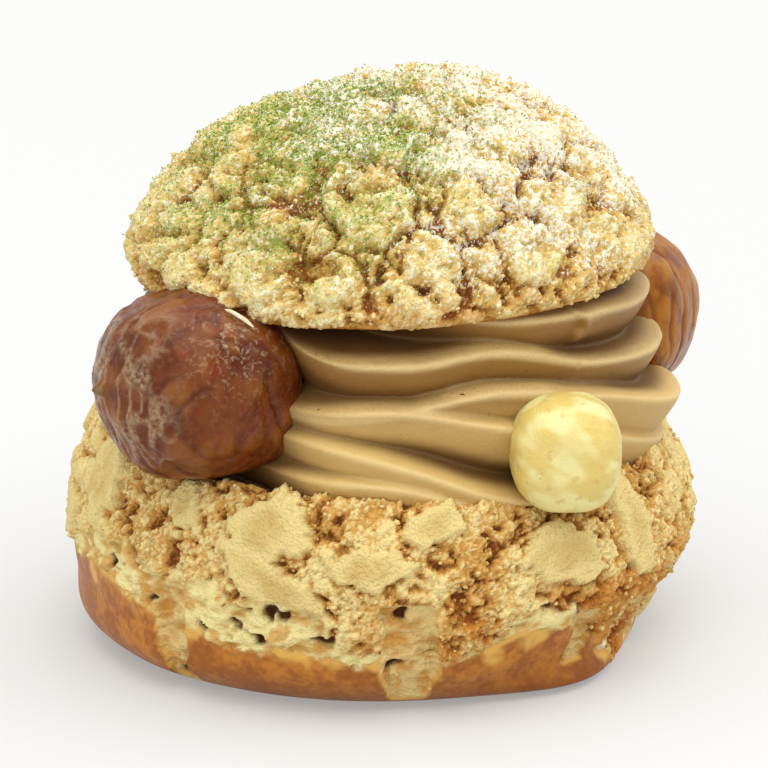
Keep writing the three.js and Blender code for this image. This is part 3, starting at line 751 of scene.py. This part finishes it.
def cap_shape():
    """The upper half of the bun, tilted into its place."""
    verts, faces = cap_form()
    normals, _ = vertex_normals(verts, faces)
    z = verts[:, 2]

    # Mounds of crust with cracks between them.
    nearest, second, kept = cells(verts, crust["cap_flake_size"], 200)
    edge = second - nearest
    ragged = edge + layered(verts, (0.1, 1.7, 80), (0.06, 0.8, 81))
    mound = (kept < crust["cap_flake_share"]) * smooth(ragged, 0.08, 0.3) * smooth(z, 1, 3.5)
    crack = 1 - smooth(edge + 0.06 * lumps(verts, 1.8, 75), 0, 0.09)
    crack *= smooth(lumps(verts, 8, 76), -0.55, 0.1) * smooth(z, 2, 5)
    hollow, plateau = cap_bare_places(verts)
    mound = np.maximum(mound * (1 - hollow), 0.8 * plateau)
    flake = mound * smooth(mound + 0.35 * lumps(verts, 1.5, 73), 0.2, 0.6)
    rise, level = crust_relief(verts, 0.4 * flake, 0, 400)
    rise += mound * crust["cap_flake_rise"]
    rise = rise * (1 - 0.7 * hollow) - 0.5 * hollow
    deep, _, kept = cells(verts, 4, 460)
    pit = (kept < 0.6) * (1 - smooth(deep + 0.1 * lumps(verts, 1.3, 82), 0.12, 0.24)) * (1 - 0.5 * flake)

    # The cut underside keeps only a fine crumb.
    free = smooth(z, -0.2, 0.8) * (normals[:, 2] > -0.9)
    relief = free * (0.7 * lumps(verts, 12, 24) + rise - 0.9 - 0.9 * pit - 0.9 * crack)
    relief += (1 - free) * 0.12 * (level - 0.5)

    sugar, tea = cap_powder(verts, smooth(normals[:, 2], 0.1, 0.7), level)
    inside = (1 - free) * (z < 1)
    none = np.zeros(len(verts))
    masks = dict(skin=inside, browned=inside, low=none, torn=none, rip=none, flake=0.4 * flake, core=flake,
                 toast=0.55 * (1 - smooth(z + 1.5 * lumps(verts, 4, 74), 1.5, 5)), depth=pit,
                 # Painted shade in the pits, cracks and hollows: a lower height gives them the crevice
                 # colour.
                 height=level * (1 - 0.8 * pit) * (1 - 0.9 * crack) * (1 - 0.6 * hollow),
                 sugar=sugar * (1 - 0.8 * hollow), tea=tea)
    verts = verts + normals * relief[:, None]
    tilted = turned(turned(verts, "Y", cap["roll"]), "X", cap["pitch"])
    return tilted + np.array(cap["centre"]), faces, masks


# Cream

def at_stations(values, azimuth):
    """A smooth curve through one value for each station."""
    s, v = np.array(stations, float), np.array(values, float)
    i = np.clip(np.searchsorted(s, azimuth, side="left") - 1, 0, len(s) - 2)
    width = s[i + 1] - s[i]
    t = (azimuth - s[i]) / width

    def slope(n):
        a, b = np.maximum(n - 1, 0), np.minimum(n + 1, len(s) - 1)
        return (v[b] - v[a]) / (s[b] - s[a])
    return ((2 * t ** 3 - 3 * t ** 2 + 1) * v[i] + (t ** 3 - 2 * t ** 2 + t) * width * slope(i)
            + (3 * t ** 2 - 2 * t ** 3) * v[i + 1] + (t ** 3 - t ** 2) * width * slope(i + 1))


def from_first_station(azimuth):
    return stations[0] + (azimuth - stations[0]) % 360


def cream_radius(azimuth, z):
    """The furthest out of the folds, each a rounded crest."""
    turn = from_first_station(azimuth)
    rounding = cream["valley"] + near(azimuth, smear)
    behind = smooth(np.abs(turn_between(azimuth, -80)), 75, 110)
    slow = np.sin(np.radians(3 * azimuth) + 0.4 * z)
    quick = np.sin(np.radians(8 * azimuth) - 0.7 * z)
    z = z + behind * (0.7 * slow + 0.35 * quick)
    total = np.zeros_like(z)
    for fold in folds:
        above = z - at_stations(fold["heights"], turn)
        lip = cream["lip"] * fold["shelf"]
        below = cream["lean"] * np.abs(above) + cream["bow"] * above ** 2
        fall = np.where(above > 0, fold["shelf"] * (np.hypot(above, lip) - lip), below)
        total += np.exp((at_stations(fold["radii"], turn) - fall - cream["bottom"]) / rounding)
    radius = rounding * np.log(total) + cream["bottom"]
    for press in presses:
        radius -= press["depth"] * near(azimuth, press)
    slant = curl["slant"] * np.maximum(z - curl["slant_from"], 0)
    beside = np.radians(turn_between(azimuth, curl["azimuth"] - slant)) * curl["radius"]
    tail = np.exp(-np.maximum(beside, 0) / curl["tail"])
    return radius + curl["rise"] * tail * smooth(beside, -0.35, 0.35) * smooth(z, 42.8, 44.6)


def cream_form():
    """The folds, with each column of points evenly spaced over its own outline."""
    columns, steps = cream["columns"], 400
    azimuth = np.degrees(np.linspace(0, 2 * np.pi, columns, endpoint=False))
    z = np.linspace(cream["bottom"], cream["top"], steps)[:, None] + 0 * azimuth
    radius = cream_radius(azimuth + 0 * z, z)
    run = run_along(radius, z)
    evenly = np.linspace(0, 1, cream["rows"])
    radius = np.stack([np.interp(evenly * run[-1, n], run[:, n], radius[:, n]) for n in range(columns)], 1)
    z = np.stack([np.interp(evenly * run[-1, n], run[:, n], z[:, n]) for n in range(columns)], 1)
    return band(radius, z, columns, (0, 0, cream["bottom"]), (0, 0, cream["top"]))


def cream_shape():
    """The piped filling, with masks for what its material shades."""
    verts, faces = cream_form()
    normals, _ = vertex_normals(verts, faces)
    azimuth, radius, z = azimuth_of(verts), radius_of(verts), verts[:, 2]
    turn = from_first_station(azimuth)
    relief = layered(verts, (0.25, 9, 51), (0.06, 2.2, 55), (0.025, 0.8, 56)) * (radius > 1)

    # Painted shade in the creases between folds, under their lips and in the recess under the cap; a
    # painted highlight along their edges, and painted light on the lower folds.
    widest = np.zeros(len(verts))
    crest = np.zeros(len(verts))
    for fold in folds:
        fold_radius = at_stations(fold["radii"], turn)
        off = np.abs(z - at_stations(fold["heights"], turn))
        widest = np.maximum(widest, fold_radius - 0.36 * off)
        # A painted highlight along each fold's edge.
        on_edge = (1 - smooth(off, 0.2, 0.8)) * (1 - smooth(fold_radius - radius, 0.4, 1.2))
        crest = np.maximum(crest, on_edge)
    # Painted light: the lower folds are made lighter, as they catch more light.
    masks = dict(crest=crest, crease_shade=smooth(widest - radius, 0.8, 3.6), lower=1 - smooth(z, 35, 40),
                 # Painted shade on the faces that look down, under each fold's lip.
                 under=smooth(-normals[:, 2], 0.1, 0.45) * (0.25 + 0.75 * smooth(z, 37, 41)),
                 # Painted shade in the recess under the cap.
                 recess_shade=smooth(z, 45.2, 47.2) * smooth(-72 - azimuth, 0, 14) * smooth(azimuth + 125, 0, 8))
    return verts + normals * relief[:, None], faces, masks


# Nuts

def chestnut_shape(nut):
    """A candied chestnut: soft lengthwise waves, furrows round its whorl and puckered skin at one end."""
    verts, faces = rounded_block(64, chestnut_squareness, nut["radii"])
    normals, _ = vertex_normals(verts, faces)
    salt = nut["salt"]
    lengthwise = np.arctan2(verts[:, 2], verts[:, 1]) + 0.5 * lumps(verts, 9, salt)
    wave = np.cos(7 * lengthwise) * smooth(nut["radii"][0] - np.abs(verts[:, 0]), 1, 6)
    folded = lumps(verts * [1.8, 0.7, 1], 2.4, salt + 2)
    away = np.linalg.norm(verts - nut["whorl"], axis=1)
    away += layered(verts, (1.1, 5, salt + 3), (0.25, 1.3, salt + 4))
    furrow = np.zeros(len(verts))
    for arc, radius in enumerate(furrow_radii):
        shown = smooth(lumps(verts, 7, salt + 5 + arc), -0.35, 0.25)
        furrow = np.maximum(furrow, shown * np.exp(-((away - radius) / 0.32) ** 2))
    swayed = verts + 0.8 * drift(verts, 2.6, salt + 14)
    puckered = ridges(swayed * [1, 1, 0.34], 1.5, salt + 12)
    # Painted sheen on the puckers that face left, where the glaze would catch the light.
    painted_sheen = smooth(-normals[:, 0] - 0.1 * normals[:, 1] + 0.3 * lumps(verts, 5, salt + 13), 0.4, 0.95)
    nib = np.zeros(len(verts))
    if nut["nib"]:
        nib = around(verts * [0.35, 1, 1], np.array(nut["nib"]) * [0.35, 1, 1], 0.75)
    relief = layered(verts, (0.55, 7, salt + 1), (0.05, 0.9, 77)) + 0.22 * wave + 0.2 * folded
    relief += nut["pucker"] * puckered ** 2 * (0.4 + smooth(-normals[:, 0], 0, 0.8))
    relief += 1.5 * nib - 0.3 * furrow
    masks = dict(furrow=furrow, painted_sheen=painted_sheen * smooth(puckered, 0.6, 1), nib=nib,
                 ridge=np.clip(0.5 + 0.3 * wave + 0.5 * folded, 0, 1),
                 dark=around(verts, nut["dark"], 7), dusty=around(verts, nut["dusty"], 5))
    verts = turned(verts + normals * relief[:, None], "Z", nut["turn"])
    return verts + np.array(nut["centre"]), faces, masks


def hazelnut_shape():
    """A blanched hazelnut with shallow dents and paler patches."""
    verts, faces = rounded_block(44, hazelnut["squareness"], hazelnut["radii"])
    normals, _ = vertex_normals(verts, faces)
    relief = layered(verts, (0.3, 4.5, 71), (0.13, 2.1, 72), (0.03, 0.7, 73)) - 0.15
    slanted = turned(verts, "Y", math.degrees(-0.5))
    patch = 0.5 + 0.55 * lumps(slanted * [0.6, 1, 1.3], 2.6, 83)
    patch += 0.25 * lumps(slanted * [0.7, 1, 1.4], 1.2, 84)
    verts = verts + normals * relief[:, None] + np.array(hazelnut["centre"])
    return verts, faces, dict(patch=np.clip(patch, 0, 1))


# Crumbs and powder

def chip_shape(centre, half_sizes, direction):
    """A small bent flake, its long side along the direction."""
    sphere, faces = geodesic(8)
    verts = sphere * half_sizes
    verts[:, 2] -= 0.06 * verts[:, 0] ** 2
    verts += 0.12 * drift(verts, 0.7, 91)
    turn = np.array(Vector(direction).to_track_quat("X", "Z").to_matrix())
    return verts @ turn.T + np.array(centre), faces


def scatter(name, surface, weight, grain, seed, count, sizes, sunk, material):
    """Small uneven grains over a surface, more of them where weight is high. Sizes in mm, from and to."""
    verts, faces = surface
    shape, sides = grain
    picker = np.random.default_rng(seed)
    normals, area = vertex_normals(verts, faces)
    share = (weight + 1e-6) * area
    at = picker.choice(len(verts), count, p=share / share.sum())
    spin, _ = np.linalg.qr(picker.normal(size=(count, 3, 3)))
    uneven = shape * (1 + 0.35 * picker.uniform(-1, 1, (count, len(shape), 1)))
    scale = picker.uniform(*sizes, (count, 1, 1)) * picker.uniform(0.6, 1, (count, 1, 3))
    grains = np.einsum("nij,nkj->nki", spin, uneven * scale)
    wander = picker.uniform(-0.25, 0.25, (count, 3))
    wander -= normals[at] * (wander * normals[at]).sum(1)[:, None]
    centre = verts[at] + wander + normals[at] * (scale.mean(2) * (0.5 - sunk))
    points = (grains + centre[:, None, :]).reshape(-1, 3)
    flip = np.linalg.det(spin) < 0
    order = np.where(flip[:, None, None], sides[None, :, ::-1], sides[None])
    triangles = (order + (np.arange(count) * len(shape))[:, None, None]).reshape(-1, 3)
    add_piece(name, None, points, triangles, material)


# Pieces

base_verts, base_faces, base_masks = base_shape()
add_piece("baked_base", "bun_base", base_verts, base_faces,
          crust_material("base_crust", base_tones), base_masks)
cap_verts, cap_faces, cap_masks = cap_shape()
add_piece("baked_cap", "bun_cap", cap_verts, cap_faces,
          crust_material("cap_crust", cap_tones), cap_masks)
cream_verts, cream_faces, cream_masks = cream_shape()
add_piece("piped_cream", "cream", cream_verts, cream_faces, cream_material(), cream_masks)
for label, node, slot, nut, material in (
    ("glazed_chestnut_left", "chestnut_left", "candied_chestnut_dark", left_chestnut,
     chestnut_material("dark_glaze", dark_glaze, 0.1)),
    ("glazed_chestnut_right", "chestnut_right", "candied_chestnut_amber", right_chestnut,
     chestnut_material("amber_glaze", amber_glaze, 0.25)),
):
    verts, faces, masks = chestnut_shape(nut)
    add_piece(label, node, verts, faces, material, masks)
nut_verts, nut_faces, nut_masks = hazelnut_shape()
add_piece("peeled_hazelnut", "hazelnut", nut_verts, nut_faces,
          hazelnut_material(), nut_masks)

base_surface = (base_verts, base_faces)
cap_surface = (cap_verts, cap_faces)
powder_grain = (diamond, diamond_sides)
crumb_grain = icosahedron(0.5)
cap_crumbly = (1 - cap_masks["flake"]) * (1 - cap_masks["skin"])
base_crumbly = (1 - base_masks["flake"]) * (1 - base_masks["skin"]) * (1 - base_masks["torn"])
base_crumbly *= base_verts[:, 2] > 3
scatter("sugar_dust", cap_surface, cap_masks["sugar"] ** 1.5, powder_grain, seed=3,
        count=9000, sizes=(0.14, 0.32), sunk=0.1,
        material=speck_material("icing_sugar", (246, 242, 230), (255, 254, 250)))
scatter("tea_powder", cap_surface, cap_masks["tea"] ** 2, powder_grain, seed=4,
        count=12000, sizes=(0.18, 0.42), sunk=0.1,
        material=speck_material("green_tea", (124, 156, 44), (190, 206, 104)))
scatter("cap_crumbs", cap_surface, cap_crumbly, crumb_grain, seed=5,
        count=1500, sizes=(0.35, 0.9), sunk=0.45,
        material=speck_material("cap_crumb", (222, 178, 98), (246, 226, 162)))
scatter("base_crumbs", base_surface, base_crumbly, crumb_grain, seed=6,
        count=1500, sizes=(0.35, 1), sunk=0.45,
        material=speck_material("base_crumb", (214, 160, 78), (242, 214, 144)))

# A splinter of crust under the cap's rim, and a chip at the foot.
pale_crust = speck_material("pale_crust", (232, 212, 164), (250, 240, 214))
for label, slot, centre, half_sizes, direction in (
    ("cap_sliver", "craquelin_cap", (-17, -31.2, 49.6), (2.2, 0.3, 0.26), (3.2, -1.3, -1.7)),
    ("base_chip", "choux_base", (27.4, -22.6, 4.6), (1.2, 0.7, 0.8), (1, -1, 0.6)),
):
    verts, faces = chip_shape(centre, half_sizes, direction)
    add_piece(label, None, verts, faces, pale_crust)

# Floor, light and camera. Sizes are in metres from here on.

bpy.ops.mesh.primitive_plane_add(size=6)
floor = bpy.context.object
floor.name = "floor"
# The table glows a little: painted light that lifts the shadows on it and lights the bun from below.
glowing_floor = Shader("glowing_table", specular_ior_level=0.0, roughness=1.0, emission_strength=0.3)
glowing_floor.surface.inputs["Emission Color"].default_value = (1, 1, 0.99, 1)
glowing_floor.finish(glowing_floor.over(linear((247, 246, 244), 0.45), linear((249, 248, 246), 0.45), glowing_floor.noise(200, 1)))
floor.data.materials.append(glowing_floor.material)

world = bpy.data.worlds.new("studio")
world.use_nodes = True
world.node_tree.nodes["Background"].inputs["Color"].default_value = (0.97, 0.99, 1, 1)
world.node_tree.nodes["Background"].inputs["Strength"].default_value = 0.78
bpy.context.scene.world = world

middle_of_bun = Vector((0, 0, 0.035))


def add_lamp(name, kind, power, direction, place=(0, 0, 0)):
    light = bpy.data.lights.new(name, kind)
    light.energy = power
    lamp = bpy.data.objects.new(name, light)
    lamp.location = place
    lamp.rotation_euler = Vector(direction).to_track_quat("-Z", "Y").to_euler()
    bpy.context.collection.objects.link(lamp)
    return light


sun = add_lamp("overhead", "SUN", 2.6, (-0.2, 0.1, -1))
sun.angle = math.radians(85)
for label, place, power in (
    ("left_fill", (-0.6, -0.3, 0.25), 0.45),
    ("front_fill", (-0.1, -0.6, 0.3), 0.65),
):
    fill = add_lamp(label, "AREA", power, middle_of_bun - Vector(place), place)
    fill.size = 0.5

elevation = math.radians(16)
distance = 0.48
photo_pixels = 768
pixel = 0.13 * MM  # what one pixel of the photo covers at the bun
aim = Vector((0.0004, -0.0002, 0.03225))
lens = bpy.data.cameras.new("camera")
lens.sensor_width = 36
lens.lens = lens.sensor_width * distance / (photo_pixels * pixel)
camera = bpy.data.objects.new("camera", lens)
camera.location = aim + distance * Vector((0, -math.cos(elevation), math.sin(elevation)))
camera.rotation_euler = (math.radians(90) - elevation, 0, 0)
bpy.context.collection.objects.link(camera)
bpy.context.scene.camera = camera
bpy.context.scene.view_settings.view_transform = "Standard"
